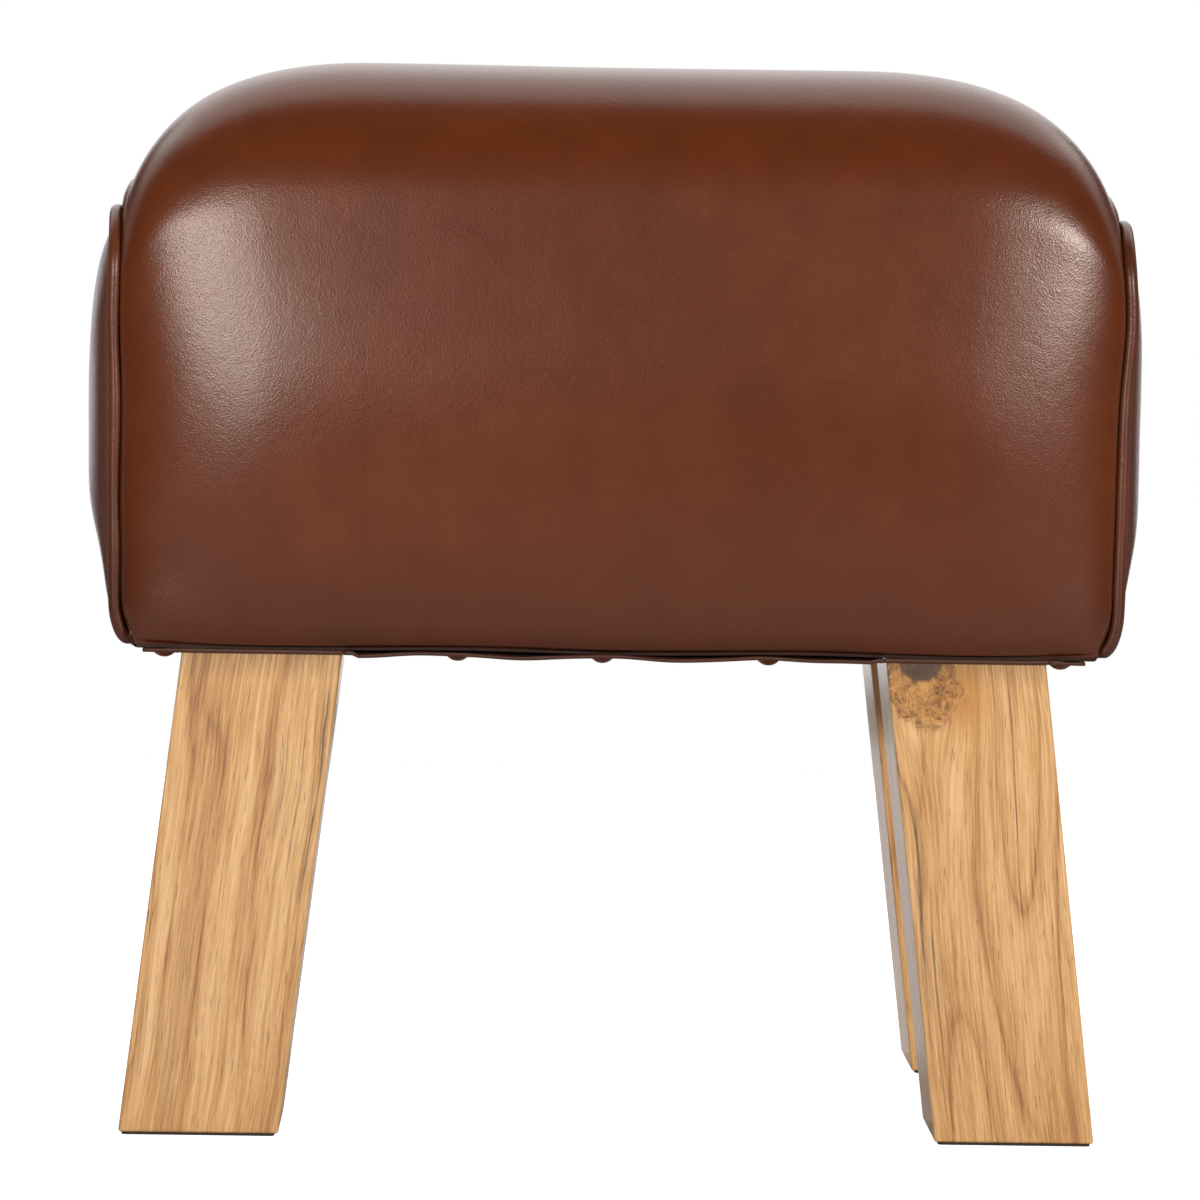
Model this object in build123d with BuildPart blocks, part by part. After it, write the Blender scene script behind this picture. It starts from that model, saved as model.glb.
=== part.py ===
from build123d import *
import math
import os

# Leather pommel horse stool. Millimetres, +Z up, origin on the floor under the middle.
# The long side of the seat runs along X and the front faces -Y.

# ---------------------------------------------------------------- driving sizes
SEAT_TOP = 447.2
LEG_TOP = 204.0
BODY_BOTTOM = 206.0
BODY_HALF_LENGTH = 207.3
BODY_HALF_DEPTH = 140.0
SHOULDER_RADIUS = 62.0
ROLL_LENGTH = 70.0
ROLL_DEPTH = 12.0
ROLL_POWER = 2.3
UNDER_EDGE = 5.0
FOAM_GAP = 2.2
FOAM_LIP_X = 180.0
FOAM_TOP_X = 202.0
LOW_CORNER = 3.0
END_TOP = 386.0
# control points of the curve that drops the top towards an end: distance from the middle, height
SHOULDER_CURVE = ((105.0, 447.2), (158.0, 447.0), (194.0, 433.0), (207.3, 386.0))
ROLL_STATIONS = 9

LEATHER = 1.8
CLEAR = 0.1

END_HALF_DEPTH = 129.0
END_BOTTOM = 205.0
END_TOP_CORNER = 26.0
END_LOW_CORNER = 6.0
WELT_RADIUS = 2.6
WELT_X = 210.0
WELT_LOW = 206.0
END_SEAT_X = 206.0
# bulge of an end panel: rise above its seating plane, insets at the sides, top and bottom
END_DOME = (
    (0.0, 5.4, 5.4, 1.0),
    (6.0, 7.0, 6.1, 7.2),
    (9.0, 11.0, 8.4, 18.0),
    (12.7, 21.6, 14.2, 39.7),
    (15.5, 38.5, 23.6, 65.0),
    (18.0, 77.0, 45.0, 97.5),
)

BOARD_HALF_LENGTH = 200.0
BOARD_HALF_DEPTH = 131.4
BOARD_THICK = 22.0
BOARD_TOP = LEG_TOP + BOARD_THICK

BOX_HALF_LENGTH = 190.0
BOX_HALF_DEPTH = 124.0
BOX_WALL = 15.0
BOX_LID = 12.0
BOX_TOP = 384.0
RIB_THICK = 12.0

LEG_LEAN = 0.1205
LEG_WIDTH = 66.5
LEG_THICK = 62.0
LEG_OUT_Y = 131.4
LEG_FOOT_X_FRONT = 203.4
LEG_FOOT_X_BACK = 209.4
LEG_EASE = 1.2
PAD_THICK = 1.2
PAD_INSET = 1.5

STRIP_LOW = 201.4
STRIP_FLANGE_TOP = 203.2
STRIP_TOP = 209.5
STRIP_OUT_Y = 133.4
STRIP_OUT_X = 196.0
STRIP_IN_Y = 112.0
STRIP_IN_X = 174.0
STRIP_NOTCH = 1.0

COVER_LOW = 203.2
COVER_HALF_LENGTH = 192.0
COVER_HALF_DEPTH = 128.0

NAIL_HEAD_RADIUS = 4.75
NAIL_HEAD_HEIGHT = 2.4
NAIL_SHANK_RADIUS = 0.8
NAIL_HOLE_RADIUS = 1.0
NAIL_LENGTH = 16.0
NAIL_ROW_Y = 125.0
NAIL_ROW_X = 187.5
NAILS_FRONT = (-186.5, -65.0, -5.0, 64.0, 185.5)
NAILS_BACK = (-190.7, -64.0, 0.0, 64.0, 190.7)
NAILS_END = (-50.0, 0.0, 50.0)

BOLT_Y = 92.0
BOLT_RADIUS = 4.0
BOLT_LOW = 150.0
BOLT_HIGH = 240.0
BOLT_HOLE_RADIUS = 4.2
TEE_FLANGE_RADIUS = 11.0
TEE_FLANGE_THICK = 1.5
TEE_BARREL_RADIUS = 5.3
TEE_BARREL_LENGTH = 11.0
TEE_HOLE_RADIUS = 5.5

DOWEL_Y = 118.0
DOWEL_RADIUS = 4.0
DOWEL_HALF_LENGTH = 15.0
DOWEL_HOLE_RADIUS = 4.1
DOWEL_HOLE_DEPTH = 15.5

SCREW_Y = 116.5
SCREW_X = 182.5
SCREWS_LONG = (-85.0, 0.0, 85.0)
SCREWS_END = (-40.0, 40.0)
SCREW_RADIUS = 2.0
SCREW_HOLE_RADIUS = 2.1
SCREW_HEAD_RADIUS = 4.0
SCREW_HEAD_HEIGHT = 3.0
SCREW_LENGTH = 50.0

SIDES = (("left", -1), ("right", 1))
ENDS = (("front", -1), ("back", 1))

os.makedirs("parts", exist_ok=True)


def save(builder, label):
    """Name the finished piece and write its STEP file."""
    builder.part.label = label
    export_step(builder.part, "parts/" + label + ".step")


def leg_foot_x(end_sign):
    """Outer edge of a leg at floor level."""
    return LEG_FOOT_X_FRONT if end_sign < 0 else LEG_FOOT_X_BACK


def leg_outer_x(end_sign, height):
    """Outer edge of a leaning leg at a height above the floor."""
    return leg_foot_x(end_sign) - LEG_LEAN * height


def leg_middle_x(end_sign, height):
    """Middle of a leaning leg at a height above the floor."""
    return leg_outer_x(end_sign, height) - LEG_WIDTH / 2


def nail_places():
    """Middle of every upholstery nail on the underside."""
    places = [(x, -NAIL_ROW_Y) for x in NAILS_FRONT]
    places += [(x, NAIL_ROW_Y) for x in NAILS_BACK]
    places += [(sx * NAIL_ROW_X, y) for _, sx in SIDES for y in NAILS_END]
    return places


def bolt_places():
    """Middle of every hanger bolt, one over each leg."""
    return [(sx * leg_middle_x(sy, LEG_TOP), sy * BOLT_Y) for _, sy in ENDS for _, sx in SIDES]


def dowel_places():
    """Middle of every locating dowel, one over each leg."""
    return [(sx * leg_middle_x(sy, LEG_TOP), sy * DOWEL_Y) for _, sy in ENDS for _, sx in SIDES]


def screw_places():
    """Middle of every wood screw that holds the box walls on the base board."""
    places = [(x, sy * SCREW_Y) for _, sy in ENDS for x in SCREWS_LONG]
    places += [(sx * SCREW_X, y) for _, sx in SIDES for y in SCREWS_END]
    return places


def shoulder_point(t):
    """Distance from the middle and height on the shoulder curve, t from 0 to 1."""
    weights = ((1 - t) ** 3, 3 * (1 - t) ** 2 * t, 3 * (1 - t) * t**2, t**3)
    return [sum(w * point[k] for w, point in zip(weights, SHOULDER_CURVE)) for k in (0, 1)]


def shoulder_height(reach):
    """Height of the seat's top at a distance from its middle, along the length."""
    low, high = 0.0, 1.0
    for _ in range(30):
        middle = (low + high) / 2
        if shoulder_point(middle)[0] < reach:
            low = middle
        else:
            high = middle
    return shoulder_point(low)[1]


def seat_section(reach, roll, inset):
    """Half depth, bottom, top and shoulder radius of the seat at a distance from its middle."""
    top = shoulder_height(reach)
    share = (top - END_TOP) / (SEAT_TOP - END_TOP)
    shoulder = END_TOP_CORNER + (SHOULDER_RADIUS - END_TOP_CORNER) * share
    half_depth = BODY_HALF_DEPTH - roll - inset
    low = BODY_BOTTOM + LOW_CORNER * roll / ROLL_DEPTH + inset
    return half_depth, low, top - inset, shoulder - inset


def seat_body(inset, stretch):
    """Outside form of the stuffed seat, moved in by inset; stretch lengthens it past its ends."""
    flat = BODY_HALF_LENGTH - ROLL_LENGTH
    stations = [(0.0, 0.0), (SHOULDER_CURVE[0][0], 0.0), (flat, 0.0)]
    for k in range(1, ROLL_STATIONS + 1):
        turn = math.pi / 2 * k / ROLL_STATIONS
        along = math.sin(turn) ** (2 / ROLL_POWER)
        across = math.cos(turn) ** (2 / ROLL_POWER)
        stations.append((flat + ROLL_LENGTH * along, ROLL_DEPTH * (1 - across)))
    if stretch:
        stations.append((BODY_HALF_LENGTH + stretch, ROLL_DEPTH))
    both = [(-reach, roll) for reach, roll in reversed(stations[1:])] + stations
    with BuildPart() as body:
        for x, roll in both:
            half_d, low, top, shoulder = seat_section(abs(x), roll, inset)
            with BuildSketch(Plane.YZ.offset(x)):
                with BuildLine():
                    outline = Polyline(
                        (-half_d, low), (half_d, low), (half_d, top), (-half_d, top), close=True
                    )
                    fillet(outline.vertices().group_by(Axis.Y)[-1], shoulder)
                    fillet(outline.vertices().group_by(Axis.Y)[0], UNDER_EDGE)
                make_face()
        loft(ruled=True)
    return body


def make_leather_wrap():
    """One leather sheet over the front, the top and the back."""
    outer = seat_body(0, 0)
    inner = seat_body(LEATHER, LEATHER)
    with BuildPart() as leather_wrap:
        add(outer.part)
        add(inner.part, mode=Mode.SUBTRACT)
        with BuildSketch(Plane.XY.offset(BODY_BOTTOM - 1)):
            Rectangle(2 * (BODY_HALF_LENGTH + 1), 2 * (STRIP_OUT_Y + 2 * CLEAR))
        extrude(amount=LEATHER + LOW_CORNER + 2, mode=Mode.SUBTRACT)
    save(leather_wrap, "leather_wrap")


def end_slice(sx, reach, half_d, low, top):
    """Slice of an end bulge at a distance from the middle, well rounded above."""
    corner = min(END_TOP_CORNER, (top - low) / 2 - END_LOW_CORNER)
    with BuildSketch(Plane.YZ.offset(sx * reach)) as slice_face:
        with BuildLine():
            outline = Polyline(
                (-half_d, low), (half_d, low), (half_d, top), (-half_d, top), close=True
            )
            fillet(outline.vertices().group_by(Axis.Y)[-1], corner)
            fillet(outline.vertices().group_by(Axis.Y)[0], END_LOW_CORNER)
        make_face()
    return slice_face.sketch


def dome(sx, skin):
    """Solid bulge on a seat end; skin is how far it sits inside the leather outside."""
    slices = []
    for rise, inset_side, inset_top, inset_low in END_DOME:
        reach = END_SEAT_X + max(rise - skin, 0.0)
        half_d = END_HALF_DEPTH - inset_side - skin
        low = END_BOTTOM + inset_low + skin
        slices.append(end_slice(sx, reach, half_d, low, END_TOP - inset_top - skin))
    with BuildPart() as bulge:
        loft(slices, ruled=True)
    return bulge


def make_end_panel(side, sx):
    """Bulging leather end panel, a thin skin over its stuffing."""
    outer = dome(sx, 0)
    inner = dome(sx, LEATHER)
    with BuildPart() as end_panel:
        add(outer.part)
        add(inner.part, mode=Mode.SUBTRACT)
    save(end_panel, "end_panel_" + side)


def make_end_welt(side, sx):
    """Rolled leather welt up, over and down a seat end, between the wrap and the end panel."""
    half_d = END_HALF_DEPTH - WELT_RADIUS
    top = END_TOP - WELT_RADIUS
    corner = END_TOP_CORNER - WELT_RADIUS
    with BuildPart() as end_welt:
        with BuildLine(Plane.YZ.offset(sx * WELT_X)) as path:
            FilletPolyline(
                (-half_d, WELT_LOW),
                (-half_d, top),
                (half_d, top),
                (half_d, WELT_LOW),
                radius=corner,
            )
        with BuildSketch(Plane(origin=(sx * WELT_X, -half_d, WELT_LOW), z_dir=(0, 0, 1))):
            Circle(WELT_RADIUS)
        sweep(path=path.line)
    save(end_welt, "end_welt_" + side)


def make_foam():
    """Foam slabs glued on the wooden box, under the leather."""
    filling = seat_body(LEATHER + FOAM_GAP, 0)
    with BuildPart() as foam_top:
        add(filling.part)
        with BuildSketch(Plane.XY.offset(BODY_BOTTOM)):
            Rectangle(2 * BODY_HALF_LENGTH, 2 * BODY_HALF_DEPTH)
        extrude(amount=BOX_TOP - BODY_BOTTOM, mode=Mode.SUBTRACT)
        with BuildSketch(Plane.XY.offset(BOX_TOP)):
            Rectangle(2 * FOAM_TOP_X, 2 * BODY_HALF_DEPTH)
        extrude(amount=SEAT_TOP - BOX_TOP, mode=Mode.INTERSECT)
    save(foam_top, "foam_top")
    for end, sy in ENDS:
        with BuildPart() as foam_side:
            add(filling.part)
            with BuildSketch(Plane.XY.offset(STRIP_TOP + CLEAR)):
                with Locations((0, sy * (BOX_HALF_DEPTH + BODY_HALF_DEPTH) / 2)):
                    Rectangle(2 * (END_SEAT_X - CLEAR), BODY_HALF_DEPTH - BOX_HALF_DEPTH)
            extrude(amount=BOX_TOP - STRIP_TOP - 2 * CLEAR, mode=Mode.INTERSECT)
            with BuildSketch(Plane.XY.offset(LEG_TOP)):
                Rectangle(2 * (BOARD_HALF_LENGTH + CLEAR), 2 * (BOARD_HALF_DEPTH + CLEAR))
                for sx in (-1, 1):
                    with Locations((sx * FOAM_LIP_X * 1.5, 0)):
                        Rectangle(FOAM_LIP_X, 2 * BODY_HALF_DEPTH)
            extrude(amount=BOARD_THICK + CLEAR, mode=Mode.SUBTRACT)
        save(foam_side, "foam_" + end)
    for side, sx in SIDES:
        bulge = dome(sx, LEATHER + FOAM_GAP)
        half_d = END_HALF_DEPTH - END_DOME[0][1] - LEATHER - FOAM_GAP
        slab_top = END_TOP - END_DOME[0][2] - LEATHER - FOAM_GAP
        slab = end_slice(sx, BOX_HALF_LENGTH, half_d, BOARD_TOP + CLEAR, slab_top)
        with BuildPart() as foam_end:
            add(bulge.part)
            extrude(slab, amount=sx * (END_SEAT_X - BOX_HALF_LENGTH))
        save(foam_end, "foam_" + side)


def make_base_board():
    """Plywood board that carries the box above and the legs below."""
    with BuildPart() as base_board:
        with BuildSketch(Plane.XY.offset(LEG_TOP)):
            Rectangle(2 * BOARD_HALF_LENGTH, 2 * BOARD_HALF_DEPTH)
        extrude(amount=BOARD_THICK)
        with BuildSketch(Plane.XY.offset(LEG_TOP)):
            with Locations(*bolt_places()):
                Circle(BOLT_HOLE_RADIUS)
        extrude(amount=BOARD_THICK, mode=Mode.SUBTRACT)
        with BuildSketch(Plane.XY.offset(BOARD_TOP - TEE_BARREL_LENGTH - CLEAR)):
            with Locations(*bolt_places()):
                Circle(TEE_HOLE_RADIUS)
        extrude(amount=TEE_BARREL_LENGTH + CLEAR, mode=Mode.SUBTRACT)
        with BuildSketch(Plane.XY.offset(LEG_TOP)):
            with Locations(*dowel_places()):
                Circle(DOWEL_HOLE_RADIUS)
        extrude(amount=DOWEL_HOLE_DEPTH, mode=Mode.SUBTRACT)
        with BuildSketch(Plane.XY.offset(LEG_TOP)):
            with Locations(*nail_places()):
                Circle(NAIL_HOLE_RADIUS)
        extrude(amount=NAIL_LENGTH, mode=Mode.SUBTRACT)
        with Locations(*[(x, y, LEG_TOP + BOARD_THICK / 2) for x, y in screw_places()]):
            Cylinder(SCREW_HOLE_RADIUS, BOARD_THICK, mode=Mode.SUBTRACT)
        with Locations(*[(x, y, LEG_TOP + SCREW_HEAD_HEIGHT / 2) for x, y in screw_places()]):
            Cone(
                SCREW_HEAD_RADIUS + CLEAR,
                SCREW_HOLE_RADIUS,
                SCREW_HEAD_HEIGHT + CLEAR,
                mode=Mode.SUBTRACT,
            )
    save(base_board, "base_board")


def discs(places, radius, low):
    """Circles of one radius at the given places, drawn at a height."""
    with BuildSketch(Plane.XY.offset(low)) as marks:
        with Locations(*places):
            Circle(radius)
    return marks.sketch


def leg_notches(low):
    """Rectangles a little larger than the leg tops, drawn at a height."""
    thick = LEG_THICK + 2 * STRIP_NOTCH - CLEAR
    width = LEG_WIDTH + 2 * STRIP_NOTCH
    middle_y = LEG_OUT_Y - LEG_THICK / 2
    places = [(sx * leg_middle_x(sy, low), sy * middle_y) for _, sy in ENDS for _, sx in SIDES]
    with BuildSketch(Plane.XY.offset(low)) as marks:
        with Locations(*places):
            Rectangle(width, thick)
    return marks.sketch


def make_box():
    """Wooden box inside the seat: four walls, a middle rib and a lid."""
    wall_height = BOX_TOP - BOX_LID - BOARD_TOP
    for end, sy in ENDS:
        with BuildPart() as box_long:
            with BuildSketch(Plane.XY.offset(BOARD_TOP)):
                with Locations((0, sy * (BOX_HALF_DEPTH - BOX_WALL / 2))):
                    Rectangle(2 * BOX_HALF_LENGTH, BOX_WALL)
            extrude(amount=wall_height)
            extrude(
                discs(screw_places(), SCREW_HOLE_RADIUS, BOARD_TOP),
                amount=SCREW_LENGTH - BOARD_THICK + 1,
                mode=Mode.SUBTRACT,
            )
        save(box_long, "box_" + end)
    inner_depth = 2 * (BOX_HALF_DEPTH - BOX_WALL)
    for side, sx in SIDES:
        with BuildPart() as box_end:
            with BuildSketch(Plane.XY.offset(BOARD_TOP)):
                with Locations((sx * (BOX_HALF_LENGTH - BOX_WALL / 2), 0)):
                    Rectangle(BOX_WALL, inner_depth)
            extrude(amount=wall_height)
            extrude(
                discs(screw_places(), SCREW_HOLE_RADIUS, BOARD_TOP),
                amount=SCREW_LENGTH - BOARD_THICK + 1,
                mode=Mode.SUBTRACT,
            )
        save(box_end, "box_" + side)
    with BuildPart() as box_rib:
        with BuildSketch(Plane.XY.offset(BOARD_TOP)):
            Rectangle(RIB_THICK, inner_depth)
        extrude(amount=wall_height)
    save(box_rib, "box_rib")
    with BuildPart() as box_lid:
        with BuildSketch(Plane.XY.offset(BOX_TOP - BOX_LID)):
            Rectangle(2 * BOX_HALF_LENGTH, 2 * BOX_HALF_DEPTH)
        extrude(amount=BOX_LID)
    save(box_lid, "box_lid")


def make_base_strips():
    """Leather strips nailed under the edge of the seat."""
    flange = STRIP_FLANGE_TOP - STRIP_LOW
    for end, sy in ENDS:
        with BuildPart() as strip_long:
            with BuildSketch(Plane.XY.offset(STRIP_LOW)):
                with Locations((0, sy * (STRIP_OUT_Y + STRIP_IN_Y) / 2)):
                    Rectangle(2 * STRIP_OUT_X, STRIP_OUT_Y - STRIP_IN_Y)
            extrude(amount=flange)
            extrude(leg_notches(STRIP_LOW), amount=flange, mode=Mode.SUBTRACT)
            extrude(
                discs(nail_places(), NAIL_HOLE_RADIUS, STRIP_LOW),
                amount=flange,
                mode=Mode.SUBTRACT,
            )
            with BuildSketch(Plane.XY.offset(STRIP_LOW)):
                with Locations((0, sy * (STRIP_OUT_Y - LEATHER / 2))):
                    Rectangle(2 * STRIP_OUT_X, LEATHER)
            extrude(amount=STRIP_TOP - STRIP_LOW)
        save(strip_long, "base_strip_" + end)
    half_run = STRIP_IN_Y - CLEAR
    for side, sx in SIDES:
        with BuildPart() as strip_end:
            with BuildSketch(Plane.XY.offset(STRIP_LOW)):
                with Locations((sx * (STRIP_OUT_X + STRIP_IN_X) / 2, 0)):
                    Rectangle(STRIP_OUT_X - STRIP_IN_X, 2 * half_run)
            extrude(amount=flange)
            extrude(leg_notches(STRIP_LOW), amount=flange, mode=Mode.SUBTRACT)
            extrude(
                discs(nail_places(), NAIL_HOLE_RADIUS, STRIP_LOW),
                amount=flange,
                mode=Mode.SUBTRACT,
            )
        save(strip_end, "base_strip_" + side)


def make_dust_cover():
    """Thin black cloth stretched under the base board."""
    with BuildPart() as dust_cover:
        with BuildSketch(Plane.XY.offset(COVER_LOW)):
            Rectangle(2 * COVER_HALF_LENGTH, 2 * COVER_HALF_DEPTH)
        extrude(amount=LEG_TOP - COVER_LOW)
        extrude(leg_notches(COVER_LOW), amount=LEG_TOP - COVER_LOW, mode=Mode.SUBTRACT)
        extrude(
            discs(nail_places(), NAIL_HOLE_RADIUS, COVER_LOW),
            amount=LEG_TOP - COVER_LOW,
            mode=Mode.SUBTRACT,
        )
    save(dust_cover, "dust_cover")


def make_nails():
    """Domed upholstery nails, all alike, in one group."""
    shank = [(x, y, STRIP_LOW + NAIL_LENGTH / 2) for x, y in nail_places()]
    dome_radius = (NAIL_HEAD_RADIUS**2 + NAIL_HEAD_HEIGHT**2) / (2 * NAIL_HEAD_HEIGHT)
    ball_rise = dome_radius - NAIL_HEAD_HEIGHT
    with BuildPart() as nails:
        with Locations(*[(x, y, STRIP_LOW + ball_rise) for x, y in nail_places()]):
            Sphere(dome_radius)
        with BuildSketch(Plane.XY.offset(STRIP_LOW - NAIL_HEAD_HEIGHT - 1)):
            with Locations(*nail_places()):
                Circle(NAIL_HEAD_RADIUS)
        extrude(amount=NAIL_HEAD_HEIGHT + 1, mode=Mode.INTERSECT)
        with Locations(*shank):
            Cylinder(NAIL_SHANK_RADIUS, NAIL_LENGTH)
    save(nails, "upholstery_nails")


def make_leg_fixings():
    """Hanger bolts, tee nuts and dowels that join the legs to the base board."""
    with BuildPart() as bolts:
        with BuildSketch(Plane.XY.offset(BOLT_LOW)):
            with Locations(*bolt_places()):
                Circle(BOLT_RADIUS)
        extrude(amount=BOLT_HIGH - BOLT_LOW)
        chamfer(bolts.edges().filter_by(GeomType.CIRCLE), 1.0)
    save(bolts, "hanger_bolts")
    with BuildPart() as tee_nuts:
        with BuildSketch(Plane.XY.offset(BOARD_TOP)):
            with Locations(*bolt_places()):
                Circle(TEE_FLANGE_RADIUS)
        extrude(amount=TEE_FLANGE_THICK)
        with BuildSketch(Plane.XY.offset(BOARD_TOP - TEE_BARREL_LENGTH)):
            with Locations(*bolt_places()):
                Circle(TEE_BARREL_RADIUS)
        extrude(amount=TEE_BARREL_LENGTH)
        with BuildSketch(Plane.XY.offset(BOARD_TOP - TEE_BARREL_LENGTH)):
            with Locations(*bolt_places()):
                Circle(BOLT_HOLE_RADIUS)
        extrude(amount=TEE_BARREL_LENGTH + TEE_FLANGE_THICK, mode=Mode.SUBTRACT)
    save(tee_nuts, "tee_nuts")
    with BuildPart() as dowels:
        with BuildSketch(Plane.XY.offset(LEG_TOP - DOWEL_HALF_LENGTH)):
            with Locations(*dowel_places()):
                Circle(DOWEL_RADIUS)
        extrude(amount=2 * DOWEL_HALF_LENGTH)
        chamfer(dowels.edges().filter_by(GeomType.CIRCLE), 0.8)
    save(dowels, "leg_dowels")


def make_screws():
    """Countersunk wood screws from the base board up into the box walls."""
    with BuildPart() as screws:
        with BuildSketch(Plane.XY.offset(LEG_TOP)):
            with Locations(*screw_places()):
                Circle(SCREW_RADIUS)
        extrude(amount=SCREW_LENGTH)
        with Locations(*[(x, y, LEG_TOP + SCREW_HEAD_HEIGHT / 2) for x, y in screw_places()]):
            Cone(SCREW_HEAD_RADIUS - CLEAR, SCREW_RADIUS, SCREW_HEAD_HEIGHT)
    save(screws, "frame_screws")


def make_leg(end, sy, side, sx):
    """Square-section teak leg, leaning out along the length of the seat."""
    foot = sx * leg_outer_x(sy, PAD_THICK)
    head = sx * leg_outer_x(sy, LEG_TOP)
    back_y = sy * (LEG_OUT_Y - LEG_THICK)
    bolt = (sx * leg_middle_x(sy, LEG_TOP), sy * BOLT_Y)
    dowel = (sx * leg_middle_x(sy, LEG_TOP), sy * DOWEL_Y)
    with BuildPart() as leg:
        with BuildSketch(Plane.XZ.offset(-back_y)):
            with BuildLine():
                Polyline(
                    (foot, PAD_THICK),
                    (head, LEG_TOP),
                    (head - sx * LEG_WIDTH, LEG_TOP),
                    (foot - sx * LEG_WIDTH, PAD_THICK),
                    close=True,
                )
            make_face()
        extrude(amount=-sy * LEG_THICK)
        top_edges = leg.edges().group_by(Axis.Z)[-1]
        eased = [edge for edge in leg.edges() if edge not in top_edges]
        fillet(eased, LEG_EASE)
        with BuildSketch(Plane.XY.offset(LEG_TOP)):
            with Locations(bolt):
                Circle(BOLT_HOLE_RADIUS)
        extrude(amount=-(LEG_TOP - BOLT_LOW + 1), mode=Mode.SUBTRACT)
        with BuildSketch(Plane.XY.offset(LEG_TOP)):
            with Locations(dowel):
                Circle(DOWEL_HOLE_RADIUS)
        extrude(amount=-DOWEL_HOLE_DEPTH, mode=Mode.SUBTRACT)
    save(leg, "leg_" + end + "_" + side)


def make_foot_pad(end, sy, side, sx):
    """Thin pad under a leg."""
    middle = (sx * leg_middle_x(sy, 0), sy * (LEG_OUT_Y - LEG_THICK / 2))
    with BuildPart() as pad:
        with BuildSketch():
            with Locations(middle):
                RectangleRounded(LEG_WIDTH - 2 * PAD_INSET, LEG_THICK - 2 * PAD_INSET, 2)
        extrude(amount=PAD_THICK)
    save(pad, "foot_pad_" + end + "_" + side)


make_leather_wrap()
for side_name, side_sign in SIDES:
    make_end_panel(side_name, side_sign)
    make_end_welt(side_name, side_sign)
make_foam()
make_base_board()
make_box()
make_base_strips()
make_dust_cover()
make_nails()
make_leg_fixings()
make_screws()
for end_name, end_sign in ENDS:
    for side_name, side_sign in SIDES:
        make_leg(end_name, end_sign, side_name, side_sign)
        make_foot_pad(end_name, end_sign, side_name, side_sign)
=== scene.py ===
import math

import bmesh
import bpy
import numpy as np
from mathutils import Matrix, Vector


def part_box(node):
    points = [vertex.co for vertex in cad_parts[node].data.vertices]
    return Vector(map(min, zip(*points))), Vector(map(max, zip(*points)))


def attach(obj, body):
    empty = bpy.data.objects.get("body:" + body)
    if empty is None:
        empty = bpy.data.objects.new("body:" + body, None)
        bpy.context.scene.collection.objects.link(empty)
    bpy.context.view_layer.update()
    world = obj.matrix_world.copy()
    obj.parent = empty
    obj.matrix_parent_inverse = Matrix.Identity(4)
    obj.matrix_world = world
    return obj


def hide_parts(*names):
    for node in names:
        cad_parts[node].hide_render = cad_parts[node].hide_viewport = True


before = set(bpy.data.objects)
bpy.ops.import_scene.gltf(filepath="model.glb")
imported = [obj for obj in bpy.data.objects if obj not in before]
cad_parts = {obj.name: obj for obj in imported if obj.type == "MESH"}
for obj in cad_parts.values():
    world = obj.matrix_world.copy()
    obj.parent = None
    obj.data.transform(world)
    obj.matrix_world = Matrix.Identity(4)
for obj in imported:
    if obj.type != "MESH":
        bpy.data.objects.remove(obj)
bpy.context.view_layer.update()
MM = 0.001


# ------------------------------------------------------------------ sizes read from the frame
def box_mm(node):
    """Lowest and highest corner of a node's box, in millimetres."""
    low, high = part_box(node)
    return np.array(low) / MM, np.array(high) / MM


WRAP_LOW, WRAP_HIGH = box_mm("leather_wrap")
WELT_LOW, WELT_HIGH = box_mm("end_welt_right")
STRIP_LOW, STRIP_HIGH = box_mm("base_strip_front")
COVER_HIGH = box_mm("dust_cover")[1]
BOARD_LOW = box_mm("base_board")[0][2]
LEG_BOX = {end: box_mm("leg_" + end + "_right") for end in ("front", "back")}

SEAT_TOP = WRAP_HIGH[2]
SEAT_LOW = WRAP_LOW[2]
SEAT_HALF_DEPTH = WRAP_HIGH[1]
SEAT_HALF_LENGTH = WRAP_HIGH[0]
END_TOP = WELT_HIGH[2]
END_LOW = WELT_LOW[2]
END_HALF_DEPTH = WELT_HIGH[1]
WELT_RADIUS = (WELT_HIGH[0] - WELT_LOW[0]) / 2
WELT_X = (WELT_HIGH[0] + WELT_LOW[0]) / 2
STRIP_IN = -STRIP_HIGH[1]
CLEARANCE = 0.1
LEG_LEAN = 0.1205
LEG_WIDTH = 66.5
LEG_FOOT = {end: LEG_BOX[end][1][0] + LEG_LEAN * LEG_BOX[end][0][2] for end in LEG_BOX}
LEG_FACE = LEG_BOX["back"][1][1]
LEG_INNER_Y = LEG_BOX["back"][0][1]
NAILS_FRONT = (-186.5, -65.0, -5.0, 64.0, 185.5)
NAILS_BACK = (-190.7, -64.0, 0.0, 64.0, 190.7)
NAILS_END = (-50.0, 0.0, 50.0)


# ------------------------------------------------------------------ mesh helpers
def add_object(name, data):
    obj = bpy.data.objects.new(name, data)
    bpy.context.scene.collection.objects.link(obj)
    return obj


def add_mesh(name, verts_mm, faces, smooth=True):
    """New object from points in millimetres."""
    mesh = bpy.data.meshes.new(name)
    mesh.from_pydata([tuple(v) for v in np.asarray(verts_mm) * MM], [], faces)
    mesh.validate()
    mesh.update()
    for poly in mesh.polygons:
        poly.use_smooth = smooth
    return add_object(name, mesh)


def grid_faces(rows, cols, closed=False):
    """Quads of a grid of points, row by row; closed joins the last column to the first."""
    faces = []
    span = cols if closed else cols - 1
    for i in range(rows - 1):
        for j in range(span):
            k = (j + 1) % cols
            faces.append((i * cols + j, i * cols + k, (i + 1) * cols + k, (i + 1) * cols + j))
    return faces


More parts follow.
